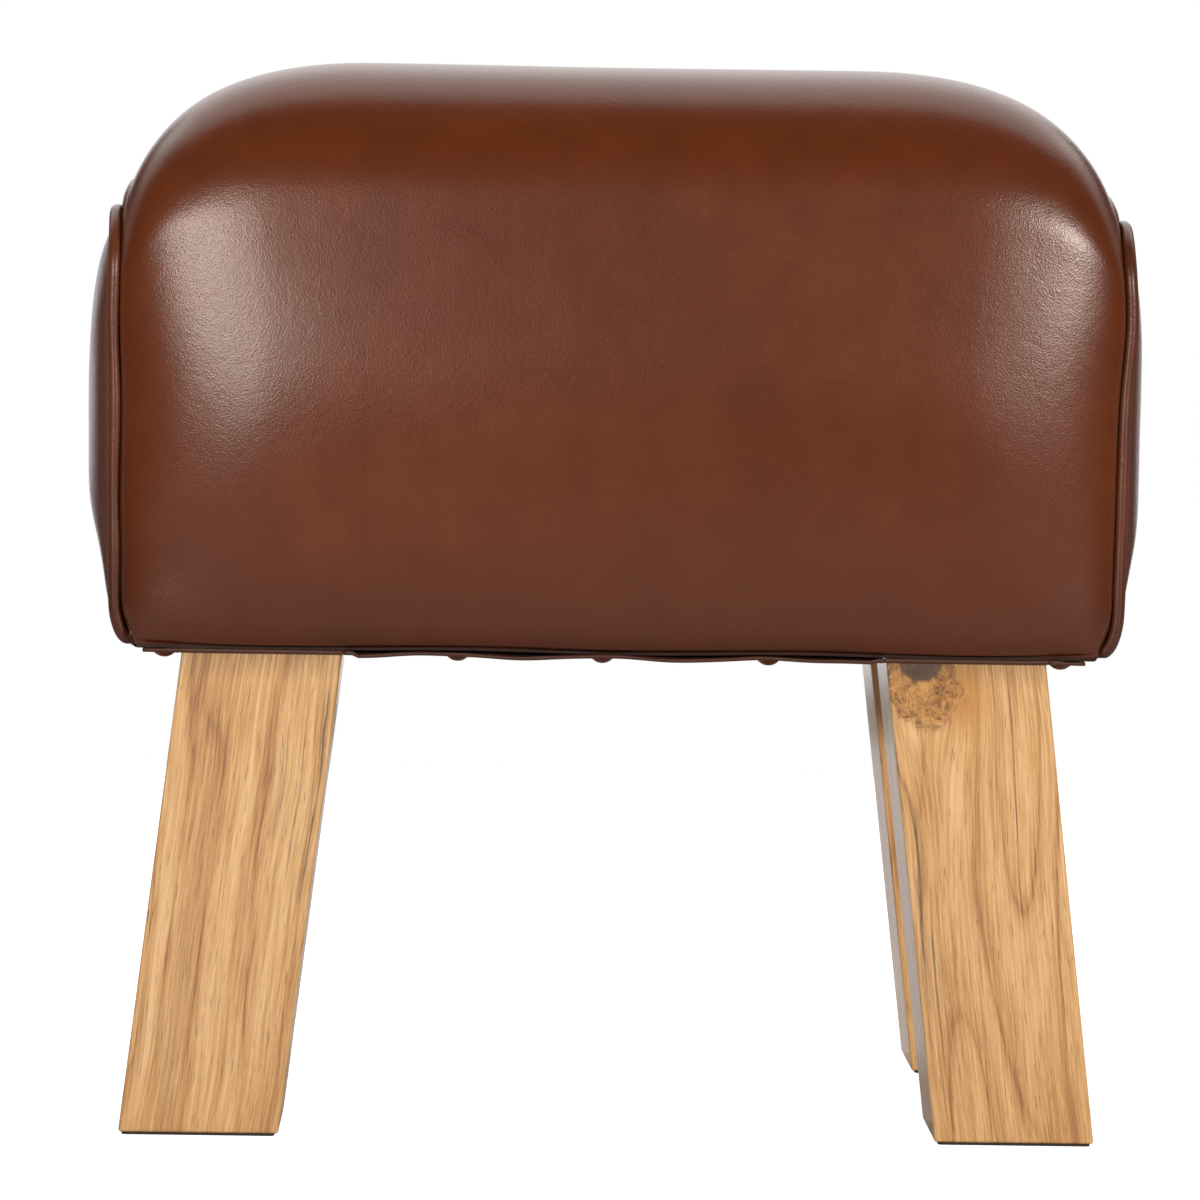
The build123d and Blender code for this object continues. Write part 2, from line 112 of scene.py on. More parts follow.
def close_tube(name, rows):
    """Tube through loops of points, with both ends closed."""
    count = rows.shape[1]
    faces = grid_faces(len(rows), count, closed=True)
    faces.append(tuple(range(count))[::-1])
    faces.append(tuple((len(rows) - 1) * count + k for k in range(count)))
    obj = add_mesh(name, rows.reshape(-1, 3), faces)
    tidy_normals(obj)
    return obj


def verts_of(obj):
    """Points of an object's mesh as an array, in millimetres."""
    flat = np.empty(len(obj.data.vertices) * 3)
    obj.data.vertices.foreach_get("co", flat)
    return flat.reshape(-1, 3) / MM


def set_verts(obj, points_mm):
    obj.data.vertices.foreach_set("co", (np.asarray(points_mm) * MM).ravel())
    obj.data.update()


def bake_modifier(obj, modifier):
    """Applies one modifier through the evaluated mesh."""
    graph = bpy.context.evaluated_depsgraph_get()
    mesh = bpy.data.meshes.new_from_object(obj.evaluated_get(graph))
    old = obj.data
    obj.modifiers.remove(modifier)
    obj.data = mesh
    mesh.name = old.name
    bpy.data.meshes.remove(old)


def spread(obj, values, pinned, rounds):
    """Evens out one value per point along the mesh's edges; pinned points keep theirs."""
    edges = np.empty(len(obj.data.edges) * 2, int)
    obj.data.edges.foreach_get("vertices", edges)
    first, second = edges.reshape(-1, 2).T
    count = np.bincount(edges, minlength=len(values))
    for _ in range(rounds):
        total = np.bincount(first, values[second], len(values))
        total += np.bincount(second, values[first], len(values))
        values = np.where(pinned, values, 0.5 * values + 0.5 * total / count)
    return values


def point_normals(obj):
    normals = np.empty(len(obj.data.vertices) * 3)
    obj.data.vertices.foreach_get("normal", normals)
    return normals.reshape(-1, 3)


def tidy_normals(obj):
    """Makes all faces of a mesh look the same way."""
    bm = bmesh.new()
    bm.from_mesh(obj.data)
    bmesh.ops.recalc_face_normals(bm, faces=bm.faces)
    bm.to_mesh(obj.data)
    bm.free()


def face_outward(obj, sign):
    """Turns every face so that the sheet's outside looks away from the seat along X."""
    tidy_normals(obj)
    if point_normals(obj)[:, 0].sum() * sign < 0:
        obj.data.flip_normals()


SLACK = 0.7
CAP = 1.1
STUFF_FRAMES = 20
STUFF_STIFFNESS = 15.0
EVEN_ROUNDS = 30


def stuff(obj, pinned, pressure):
    """Cloth simulation: the sheet starts SLACK inside, and stuffing pushes it out by up to CAP."""
    full = verts_of(obj)
    outward = point_normals(obj)
    slack = spread(obj, np.where(pinned, 0.0, SLACK), pinned, EVEN_ROUNDS)
    rest = full - outward * slack[:, None]
    set_verts(obj, rest)
    group = obj.vertex_groups.new(name="pin")
    group.add([int(i) for i in np.nonzero(pinned)[0]], 1.0, "REPLACE")
    cloth = obj.modifiers.new("stuffing", "CLOTH")
    settings = cloth.settings
    settings.quality = 6
    settings.mass = 0.3
    settings.tension_stiffness = STUFF_STIFFNESS
    settings.compression_stiffness = STUFF_STIFFNESS
    settings.shear_stiffness = STUFF_STIFFNESS / 2
    settings.bending_stiffness = 0.5
    settings.use_pressure = True
    settings.uniform_pressure_force = pressure
    settings.effector_weights.gravity = 0.0
    settings.vertex_group_mass = "pin"
    cloth.collision_settings.use_collision = False
    cloth.collision_settings.use_self_collision = False
    cloth.point_cache.frame_start = 1
    cloth.point_cache.frame_end = STUFF_FRAMES
    for f in range(1, STUFF_FRAMES + 1):
        bpy.context.scene.frame_set(f)
    graph = bpy.context.evaluated_depsgraph_get()
    shape = verts_of(obj.evaluated_get(graph))
    obj.modifiers.remove(cloth)
    obj.vertex_groups.remove(group)
    bpy.context.scene.frame_set(1)
    swell = ((shape - rest) * outward).sum(axis=1)
    swell = CAP * np.tanh(np.clip(swell, 0, None) / CAP)
    swell = spread(obj, np.where(pinned, 0.0, swell), pinned, EVEN_ROUNDS)
    set_verts(obj, rest + outward * swell[:, None])
    print("stuffing", obj.name, "mean swell mm", float(swell.mean()), "most", float(swell.max()))


def smooth_noise(x, y, seed, scale):
    """Smooth repeatable waves of about unit size over two coordinates."""
    rng = np.random.RandomState(seed)
    total = np.zeros_like(x, dtype=float)
    for _ in range(7):
        angle = rng.uniform(0, 2 * math.pi)
        wave = rng.uniform(0.6, 1.6) / scale
        phase = rng.uniform(0, 2 * math.pi)
        total += np.sin((x * math.cos(angle) + y * math.sin(angle)) * wave * 2 * math.pi + phase)
    return total / 3.0


def skin(obj, thickness_mm):
    """Gives a single sheet its leather thickness, inward."""
    mod = obj.modifiers.new("skin", "SOLIDIFY")
    mod.thickness = thickness_mm * MM
    mod.offset = -1.0
    mod.use_even_offset = False
    bake_modifier(obj, mod)


def shade_smooth(obj):
    for poly in obj.data.polygons:
        poly.use_smooth = True


def finish_piece(obj, material):
    """One subdivision, smooth shading and the material."""
    mod = obj.modifiers.new("subdivide", "SUBSURF")
    mod.levels = 1
    mod.render_levels = 1
    bake_modifier(obj, mod)
    shade_smooth(obj)
    dress(obj, material)


# ------------------------------------------------------------------ materials
class Nodes:
    """Short way to write node trees."""

    def __init__(self, name):
        self.mat = bpy.data.materials.new(name)
        self.mat.use_nodes = True
        self.tree = self.mat.node_tree
        self.tree.nodes.clear()
        self.out = self.tree.nodes.new("ShaderNodeOutputMaterial")
        self.shader = self.tree.nodes.new("ShaderNodeBsdfPrincipled")
        self.link(self.shader.outputs[0], self.out.inputs[0])
        self.coord = self.tree.nodes.new("ShaderNodeTexCoord").outputs["Object"]

    def link(self, a, b):
        self.tree.links.new(a, b)

    def put(self, value, socket):
        if isinstance(value, bpy.types.NodeSocket):
            self.link(value, socket)
        else:
            socket.default_value = value

    def math(self, op, a, b=0.0):
        node = self.tree.nodes.new("ShaderNodeMath")
        node.operation = op
        for value, socket in zip((a, b), node.inputs):
            self.put(value, socket)
        return node.outputs[0]

    def add(self, a, b):
        return self.math("ADD", a, b)

    def times(self, a, b):
        return self.math("MULTIPLY", a, b)

    def less(self, a, b):
        return self.math("SUBTRACT", a, b)

    def wave(self, value, length):
        """Sine of a distance with the given wave length in metres."""
        return self.math("SINE", self.times(value, 2 * math.pi / length))

    def weigh(self, *parts):
        """Sum of values, each times its share."""
        total = self.times(*parts[0])
        for part in parts[1:]:
            total = self.add(total, self.times(*part))
        return total

    def square(self, a):
        return self.times(a, a)

    def root_sum(self, a, b):
        return self.math("SQRT", self.add(a, b))

    def split(self, vector):
        node = self.tree.nodes.new("ShaderNodeSeparateXYZ")
        self.link(vector, node.inputs[0])
        return node.outputs

    def join(self, x, y, z):
        node = self.tree.nodes.new("ShaderNodeCombineXYZ")
        for value, socket in zip((x, y, z), node.inputs):
            self.put(value, socket)
        return node.outputs[0]

    def noise(self, vector, scale, detail=3.0, rough=0.5, distortion=0.0):
        node = self.tree.nodes.new("ShaderNodeTexNoise")
        self.link(vector, node.inputs["Vector"])
        node.inputs["Scale"].default_value = scale
        node.inputs["Detail"].default_value = detail
        node.inputs["Roughness"].default_value = rough
        node.inputs["Distortion"].default_value = distortion
        return node.outputs["Fac"]

    def voronoi(self, vector, scale, feature="F1"):
        node = self.tree.nodes.new("ShaderNodeTexVoronoi")
        node.feature = feature
        self.link(vector, node.inputs["Vector"])
        node.inputs["Scale"].default_value = scale
        return node.outputs["Distance"]

    def ramp(self, value, *stops):
        node = self.tree.nodes.new("ShaderNodeValToRGB")
        self.put(value, node.inputs[0])
        points = node.color_ramp.elements
        while len(points) < len(stops):
            points.new(0.5)
        for point, (place, colour) in zip(points, stops):
            point.position = place
            point.color = (*colour, 1)
        return node.outputs[0]

    def span(self, value, a, b, c=0.0, d=1.0):
        node = self.tree.nodes.new("ShaderNodeMapRange")
        node.clamp = True
        for v, socket in zip((value, a, b, c, d), node.inputs):
            self.put(v, socket)
        return node.outputs[0]

    def mix(self, fac, a, b):
        node = self.tree.nodes.new("ShaderNodeMix")
        node.data_type = "RGBA"
        self.put(fac, node.inputs[0])
        self.put(a if isinstance(a, bpy.types.NodeSocket) else (*a, 1), node.inputs[6])
        self.put(b if isinstance(b, bpy.types.NodeSocket) else (*b, 1), node.inputs[7])
        return node.outputs[2]

    def bump(self, height, strength, distance, under=None):
        node = self.tree.nodes.new("ShaderNodeBump")
        node.inputs["Strength"].default_value = strength
        node.inputs["Distance"].default_value = distance
        self.link(height, node.inputs["Height"])
        if under is not None:
            self.link(under, node.inputs["Normal"])
        return node.outputs[0]

    def set(self, **values):
        for key, value in values.items():
            self.put(value, self.shader.inputs[key.replace("_", " ")])
        return self.mat


def srgb(r, g, b):
    """Linear colour of an 8-bit screen colour."""
    return tuple(((c / 255 + 0.055) / 1.055) ** 2.4 if c > 10 else c / 255 / 12.92 for c in (r, g, b))


def leather(name, dark, mid, light, roughness=0.28, paint_crease_shade=True):
    """Pull-up leather: mottled dye, fine pebble grain, faint creases, with painted shade towards the
    bottom and, when asked, in the crease above the hem.
    """
    n = Nodes(name)
    cloud = n.noise(n.coord, 7.0, 4.0, 0.55, 0.4)
    blotch = n.noise(n.coord, 42.0, 5.0, 0.6, 0.3)
    speck = n.noise(n.coord, 700.0, 2.0, 0.6)
    tone = n.weigh((cloud, 0.55), (blotch, 0.33), (speck, 0.12))
    colour = n.ramp(tone, (0.28, dark), (0.5, mid), (0.72, light))
    fleck = n.span(n.noise(n.coord, 400.0, 0.0, 0.4), 0.138, 0.118)
    colour = n.mix(n.times(fleck, 0.13), colour, srgb(38, 20, 12))
    z = n.split(n.coord)[2]
    # Painted shade: the colour darkens below about 250 mm height towards the hem, unevenly with the cloud
    # pattern, standing in for shade the lamps don't give.
    low_edge = n.span(z, 0.250, 0.206, 0.0, 0.30)
    low_edge = n.add(low_edge, n.times(low_edge, n.span(cloud, 0.35, 0.65, 0.0, 1.3)))
    colour = n.mix(low_edge, colour, srgb(52, 25, 15))
    # Painted shade: a thin dark line on the leather at the height of the crease above the hem, where shade
    # falls.
    if paint_crease_shade:
        painted_crease_shade = n.span(z, 0.20515, 0.20475, 0.0, 0.8)
        colour = n.mix(painted_crease_shade, colour, srgb(26, 13, 9))
    pebble = n.voronoi(n.coord, 1500.0, "SMOOTH_F1")
    grain = n.noise(n.coord, 2200.0, 3.0, 0.6)
    height = n.weigh((pebble, 0.8), (grain, 0.4))
    fine = n.bump(height, 0.35, 0.00016)
    wrinkle = n.noise(n.coord, 1250.0, 3.0, 0.6, 0.5)
    coarse = n.bump(wrinkle, 0.12, 0.00012, fine)
    coarse = n.bump(n.noise(n.coord, 150.0, 3.0, 0.6, 0.8), 0.12, 0.0006, coarse)
    rough = n.add(roughness - 0.02, n.times(blotch, 0.04))
    return n.set(
        Base_Color=colour, Roughness=rough, Normal=coarse, Specular_IOR_Level=0.42,
        Specular_Tint=(1.0, 0.88, 0.80, 1.0),
    )


def knot_fields(n, cross, z, knot):
    """Offsets from a knot, its round distance, and how strongly the grain bends round it."""
    dx = n.less(cross, knot[0] * MM)
    dz = n.less(z, knot[1] * MM)
    wide = n.square(dx)
    reach = n.root_sum(wide, n.times(n.square(dz), 0.95))
    tall = n.root_sum(wide, n.times(n.square(dz), 0.16))
    bend = n.math("EXPONENT", n.times(n.square(tall), -2800.0))
    return dx, dz, wide, reach, bend


def streak_colour(n, colour, grain, z, thin, streaks):
    """Dark mineral lines along the grain, fading out at both ends."""
    fade = 18.0
    for middle, low, high, half in streaks:
        off = n.math("DIVIDE", n.less(grain, middle * MM), half * MM)
        line = n.math("EXPONENT", n.times(n.square(off), -1.0))
        line = n.times(line, n.span(z, low * MM, (low + fade) * MM))
        line = n.times(line, n.span(z, high * MM, (high - fade) * MM))
        line = n.times(line, n.span(n.noise(thin, 900.0, 3.0, 0.7), 0.40, 0.56))
        colour = n.mix(n.times(line, 0.8), colour, srgb(66, 42, 26))
    return colour


def knot_colour(n, colour, y, fields):
    """Amber glow beside the knot, curled halo below it, and its dark core."""
    dx, dz, wide, reach, _ = fields
    swirl = n.noise(n.join(dx, y, n.times(dz, 0.8)), 190.0, 3.0, 0.6, 1.2)
    uneven = n.less(swirl, 0.5)
    below = n.add(dz, 0.0115)
    ragged = n.add(n.root_sum(wide, n.square(below)), n.times(uneven, 0.012))
    aside = n.less(dx, 0.016)
    tongue = n.root_sum(n.square(aside), n.square(n.times(below, 0.55)))
    glow = n.span(n.add(tongue, n.times(uneven, 0.004)), 0.0135, 0.006)
    colour = n.mix(n.times(glow, 0.75), colour, srgb(186, 124, 50))
    halo = n.times(n.span(ragged, 0.0185, 0.0140), 0.88)
    halo_tone = n.ramp(
        swirl, (0.36, srgb(134, 82, 26)), (0.5, srgb(170, 112, 42)), (0.66, srgb(194, 136, 66)),
    )
    colour = n.mix(halo, colour, halo_tone)
    curl = n.wave(ragged, 0.0022)
    lines = n.times(n.span(curl, 0.35, 0.9), n.span(swirl, 0.64, 0.44))
    lines = n.times(n.times(lines, halo), 0.8)
    colour = n.mix(lines, colour, srgb(78, 46, 12))
    core = n.add(reach, n.times(uneven, 0.003))
    colour = n.mix(n.span(core, 0.0102, 0.0086), colour, srgb(84, 50, 18))
    core_tone = n.ramp(swirl, (0.4, srgb(44, 24, 8)), (0.62, srgb(78, 48, 22)))
    return n.mix(n.span(core, 0.0088, 0.0056), colour, core_tone)


def teak(name, side, seed, knot=None, streaks=()):
    """Satin teak with its grain along a leaning leg, with a painted shadow at its top under the seat.

    knot is the (distance along the grain's cross direction, height) of a knot in millimetres.
    streaks are dark mineral lines: (cross distance, low end, high end, half width) in millimetres.
    """
    n = Nodes(name)
    x, y, z = n.split(n.coord)
    cross = n.add(x, n.times(z, side * LEG_LEAN))
    slow = n.join(n.times(cross, 5.0), n.times(y, 5.0), n.times(z, 7.0))
    sway = n.less(n.noise(slow, 1.0, 2.0), 0.5)
    grain = n.add(cross, n.times(sway, 0.011))
    if knot is not None:
        fields = knot_fields(n, cross, z, knot)
        grain = n.less(grain, n.times(n.times(fields[-1], fields[0]), 0.92))
    across = n.add(grain, seed * 1.37)
    depth = n.add(y, seed * 0.71)
    place = n.join(across, depth, n.times(z, 0.10))
    thin = n.join(across, depth, n.times(z, 0.032))
    rings = n.math("FRACT", n.times(n.noise(place, 24.0, 1.0, 0.35), 8.0))
    fibre = n.noise(thin, 950.0, 4.0, 0.72)
    broad = n.noise(thin, 130.0, 3.0, 0.6)
    ring_tone = n.ramp(
        rings, (0.0, (0.30,) * 3), (0.035, (0.42,) * 3), (0.13, (0.56,) * 3),
        (0.55, (0.60,) * 3), (0.93, (0.46,) * 3), (1.0, (0.30,) * 3),
    )
    colour = n.ramp(
        n.weigh((ring_tone, 0.36), (fibre, 0.42), (broad, 0.22)),
        (0.385, srgb(150, 97, 48)), (0.455, srgb(188, 134, 75)),
        (0.525, srgb(209, 158, 98)), (0.61, srgb(228, 182, 126)),
    )
    band = n.span(n.noise(thin, 75.0, 2.0, 0.5), 0.40, 0.31)
    colour = n.mix(n.times(band, 0.38), colour, srgb(150, 98, 42))
    dash = n.join(grain, n.add(y, seed * 0.3), n.times(z, 0.055))
    pores = n.span(n.noise(dash, 1500.0, 1.0, 0.5), 0.345, 0.285)
    colour = n.mix(n.times(pores, 0.62), colour, srgb(122, 76, 38))
    colour = streak_colour(n, colour, grain, z, thin, streaks)
    if knot is not None:
        colour = knot_colour(n, colour, y, fields)
    # Painted shadow: the top of each leg, just under the seat, is darkened as if shaded by the seat's
    # overhang.
    painted_seat_shadow = n.times(n.span(z, 0.190, 0.2038), n.span(fibre, 0.40, 0.56, 0.72, 0.36))
    colour = n.mix(painted_seat_shadow, colour, srgb(92, 62, 32))
    height = n.weigh((fibre, 0.5), (pores, -0.8))
    return n.set(
        Base_Color=colour, Roughness=n.span(fibre, 0.3, 0.7, 0.40, 0.52),
        Normal=n.bump(height, 0.22, 0.0002), Coat_Weight=0.85, Coat_Roughness=0.22,
    )


def plain_wood(name, light, dark, layered=False):
    """Softwood, dowel wood or plywood for the hidden frame."""
    n = Nodes(name)
    x, y, z = n.split(n.coord)
    line = n.join(n.times(x, 0.05), y, z)
    band = n.noise(line, 110.0, 4.0, 0.6, 0.6)
    colour = n.ramp(band, (0.35, dark), (0.62, light))
    if layered:
        ply = n.wave(z, 0.0032)
        colour = n.mix(n.span(ply, -0.2, 0.3, 0.0, 0.35), colour, dark)
    return n.set(Base_Color=colour, Roughness=n.span(band, 0.3, 0.7, 0.55, 0.75),
                 Normal=n.bump(band, 0.3, 0.0003))


def metal(name, colour, roughness, grain=900.0):
    n = Nodes(name)
    cloud = n.noise(n.coord, grain, 3.0, 0.6)
    tint = n.ramp(cloud, (0.3, tuple(c * 0.72 for c in colour)), (0.7, colour))
    return n.set(Base_Color=tint, Metallic=1.0, Normal=n.bump(cloud, 0.15, 0.0001),
                 Roughness=n.span(cloud, 0.3, 0.7, roughness - 0.06, roughness + 0.1))


def foam_material():
    n = Nodes("foam_cells")
    cells = n.voronoi(n.coord, 900.0)
    cloud = n.noise(n.coord, 30.0, 3.0)
    tone = n.weigh((cells, 0.5), (cloud, 0.5))
    colour = n.ramp(tone, (0.2, srgb(196, 180, 128)), (0.7, srgb(236, 226, 186)))
    return n.set(Base_Color=colour, Roughness=n.span(cells, 0.0, 1.0, 0.85, 0.95),
                 Normal=n.bump(cells, 0.6, 0.0006))


def cambric_material():
    """Black non-woven cloth of the dust cover."""
    n = Nodes("cambric")
    x, y, _ = n.split(n.coord)
    weave = n.times(n.wave(x, 0.0012), n.wave(y, 0.0012))
    fuzz = n.noise(n.coord, 500.0, 4.0, 0.7)
    colour = n.ramp(n.add(n.times(weave, 0.12), fuzz),
                    (0.3, srgb(14, 14, 15)), (0.7, srgb(38, 37, 38)))
    return n.set(Base_Color=colour, Roughness=n.span(fuzz, 0.3, 0.7, 0.8, 0.95),
                 Normal=n.bump(weave, 0.35, 0.0002), Sheen_Weight=0.2)


def rubber_material():
    n = Nodes("pad_rubber")
    fuzz = n.noise(n.coord, 700.0, 3.0, 0.7)
    colour = n.ramp(fuzz, (0.3, srgb(34, 26, 20)), (0.7, srgb(58, 46, 36)))
    return n.set(Base_Color=colour, Roughness=n.span(fuzz, 0.3, 0.7, 0.75, 0.9),
                 Normal=n.bump(fuzz, 0.4, 0.0002))


def dress(obj, material):
    """Puts one material on every slot of an object."""
    if not obj.material_slots:
        obj.data.materials.append(material)
    for slot in obj.material_slots:
        slot.material = material


LEATHER = leather("brown_leather", srgb(80, 34, 12), srgb(92, 40, 15), srgb(106, 49, 21))
EDGE_LEATHER = leather("welt_leather", srgb(62, 28, 14), srgb(86, 40, 21), srgb(108, 54, 30), 0.33)
STRIP_LEATHER = leather("strip_leather", srgb(62, 32, 20), srgb(82, 44, 29), srgb(104, 60, 42), 0.5, False)


# ------------------------------------------------------------------ seat outline
ROLL_LENGTH = 70.0
ROLL_DEPTH = 12.0
ROLL_POWER = 2.3
SHOULDER = 62.0
END_SHOULDER = 30.0
LOW_LIFT = 3.0
LOW_DROP = 1.0
LOW_ROLL = 13.0
LOW_TUCK = 5.4
LOW_PULL = 4.6
LOW_PULL_HEIGHT = 20.0
HEM_EDGE = 131.95
HEM_LOW = 202.9
SEAM_BULGE = 1.3
FACE_BULGE = 7.0
FACE_BULGE_HEIGHT = 184.0
FACE_BULGE_REACH = 208.0
HEM_WAVE = 0.7
SEAM_WAVE = 0.4
WRAP_THICK = 1.6
PIN_COLUMNS = 14
BOARD_END = 200.9
BOARD_END_BLEND = 1.2
BOARD_CORNER = 201.0
BOARD_TOP = 212.0
DRAWN_FROM = 188.0
DRAWN_OVER = 19.0
SHIFTED_FROM = 150.0
SHIFTED_OVER = 57.0
HEM_HEIGHT = 8.0
SEWN_SHARE = 0.93
SHOULDER_CURVE = ((105.0, 0.0), (158.0, -0.2), (194.0, -14.2), (207.3, -61.2))
# Wander of each sewn end: offset of the whole seam, then a swell's size, height and spread.
SEAM_WANDER = {1: (0.0, 2.2, 342.0, 24.0), -1: (-1.0, -1.2, 268.0, 45.0)}
# Lower part of a seam, drawn in: where it starts, over what height, how far.
SEAM_FOOT = (262.0, 50.0, -1.6)


def shoulder_height(reach):
    """Height of the seat's top at a distance from its middle, on a cubic curve."""
    t = np.linspace(0, 1, 200)
    weights = ((1 - t) ** 3, 3 * (1 - t) ** 2 * t, 3 * (1 - t) * t**2, t**3)
    xs, drops = (sum(w * point[k] for w, point in zip(weights, SHOULDER_CURVE)) for k in (0, 1))
    return SEAT_TOP + np.interp(reach, xs, drops, left=0.0)


def end_shift(sign, y, z):
    """How far the sewn end stands out from its flat plane: the top bulges, the sides wander."""
    high = np.clip((z - END_TOP + 30.0) / 28.0, 0, 1)
    offset, swell, middle, spread_z = SEAM_WANDER[sign]
    foot_top, foot_height, foot_shift = SEAM_FOOT
    out = SEAM_BULGE * high * np.clip(1 - (y / 128.0) ** 2, 0, 1) + offset
    out = out + swell * np.exp(-(((z - middle) / spread_z) ** 2))
    out = out + foot_shift * np.clip((foot_top - z) / foot_height, 0, 1)
    return out + SEAM_WAVE * smooth_noise(y, z, 11 + sign, 75.0)


def low_pull(z):
    """How far the sewn end is drawn in towards its lower corner."""
    return LOW_PULL * np.clip(1 - (z - SEAT_LOW) / LOW_PULL_HEIGHT, 0, 1) ** 2.2


def section(half_depth, top, low, shoulder, past_board):
    """Points of one cross-section from the front hem over the top to the back hem.

    Over the board the hem is tucked in to HEM_EDGE; past_board is 1 where the board has ended.
    """
    tuck = half_depth - LOW_TUCK
    beside_board = max(tuck, min(HEM_EDGE + 0.7, half_depth - 0.6))
    tuck = tuck * past_board + beside_board * (1 - past_board)
    turn = half_depth - tuck
    deep = min(tuck - 0.45, HEM_EDGE * (1 - past_board) + (tuck - 2.6) * past_board)
    hem = HEM_LOW + 0.7 * (low - SEAT_LOW + LOW_DROP) * past_board
    pts = [(-deep, hem), (-deep, (hem + low) / 2), (-(deep + 0.15), low - 0.15)]
    for t in np.linspace(0, math.pi / 2, 10):
        pts.append((-tuck - turn * math.sin(t), low + LOW_ROLL - LOW_ROLL * math.cos(t)))
    face_top = top - shoulder
    face_low = low + LOW_ROLL
    for k in range(1, 34):
        pts.append((-half_depth, face_low + (face_top - face_low) * k / 34))
    power = 2 / 2.12
    for t in np.linspace(0, math.pi / 2, 26):
        pts.append((
            -(half_depth - shoulder) - shoulder * math.cos(t) ** power,
            face_top + shoulder * math.sin(t) ** power,
        ))
    for k in range(1, 15):
        pts.append((-(half_depth - shoulder) * (1 - k / 14), top))
    half = np.array(pts)
    return np.vstack([half, half[:-1][::-1] * np.array([-1, 1])])


# ------------------------------------------------------------------ leather wrap
def wrap_stations():
    """Distance from the middle, side roll and tuck of each cross-section, middle to end."""
    flat = SEAT_HALF_LENGTH - ROLL_LENGTH
    stations = [(a, 0.0, 0.0) for a in np.linspace(0, flat, 24)]
    for turn in np.radians(np.linspace(4, 90, 30)):
        along = math.sin(turn) ** (2 / ROLL_POWER)
        across = max(math.cos(turn), 0.0) ** (2 / ROLL_POWER)
        stations.append((flat + ROLL_LENGTH * along, ROLL_DEPTH * (1 - across), 0.0))
    last = stations[-1]
    for k in range(1, 4):
        stations.append((last[0] - 1.5 * k, last[1] + 0.6 * k, 0.8 * k))
    return stations


def make_wrap():
    """One sheet over front, top and back, rolled in at both ends to the sewn seams."""
    stations = wrap_stations()
    rows = []
    seam_rows = []
    for sign in (-1, 1):
        group = stations[::-1] if sign < 0 else stations[1:]
        for a, roll, tuck in group:
            rolled = min(roll / ROLL_DEPTH, 1.0)
            high = shoulder_height(a)
            share = np.clip((high - END_TOP) / (SEAT_TOP - END_TOP), 0, 1)
            shoulder = END_SHOULDER + (SHOULDER - END_SHOULDER) * share
            low = SEAT_LOW - LOW_DROP + LOW_LIFT * rolled**1.3 + tuck
            drawn = np.clip((a - DRAWN_FROM) / DRAWN_OVER, 0, 1) ** 2
            past_board = np.clip((a - drawn * LOW_PULL - BOARD_END) / BOARD_END_BLEND, 0, 1)
            ring = section(SEAT_HALF_DEPTH - roll, high - tuck, low, shoulder, past_board)
            y, z = ring[:, 0], ring[:, 1]
            near = np.clip((a - SHIFTED_FROM) / SHIFTED_OVER, 0, 1) ** 2
            x = sign * (a + near * end_shift(sign, y, z) - drawn * low_pull(z))
            face = np.clip(np.abs(y) / SEAT_HALF_DEPTH, 0, 1) ** 4
            tall = np.sin(math.pi * np.clip((z - SEAT_LOW) / FACE_BULGE_HEIGHT, 0, 1)) ** 1.3
            y = y + np.sign(y) * FACE_BULGE * tall * face * (1 - (a / FACE_BULGE_REACH) ** 6)
            hem = np.clip(1 - (z - SEAT_LOW) / HEM_HEIGHT, 0, 1)
            z = z + hem * HEM_WAVE * smooth_noise(x, x * 0 + np.sign(y) * 3, 5, 120.0) * (1 - rolled)
            rows.append(np.stack([x, y, z], axis=1))
            seam_rows.append(roll > ROLL_DEPTH * SEWN_SHARE)
    count = len(rows[0])
    obj = add_mesh("wrap_leather", np.vstack(rows), grid_faces(len(rows), count))
    tidy_normals(obj)
    pinned = np.zeros((len(rows), count), bool)
    pinned[np.array(seam_rows)] = True
    pinned[:, :PIN_COLUMNS] = True
    pinned[:, -PIN_COLUMNS:] = True
    stuff(obj, pinned.ravel(), pressure=4.0)
    skin(obj, WRAP_THICK)
    points = verts_of(obj)
    over_board = (np.abs(points[:, 0]) < BOARD_CORNER) & (np.abs(points[:, 1]) < HEM_EDGE)
    over_board &= points[:, 2] < BOARD_TOP
    points[over_board, 1] = np.sign(points[over_board, 1]) * HEM_EDGE
    set_verts(obj, points)
    finish_piece(obj, LEATHER)
    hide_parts("leather_wrap")
    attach(obj, "root")


# ------------------------------------------------------------------ end panels and welts
PANEL_EDGE = 5.0
PANEL_RISE = 20.0
PANEL_CORNER = 29.0
PANEL_SEAT = 206.0
PANEL_PULL = 0.7
PANEL_THICK = 1.5
PANEL_CELLS = 64
PANEL_FOOT_CORNER = 9.0
HEM_END = 195.0


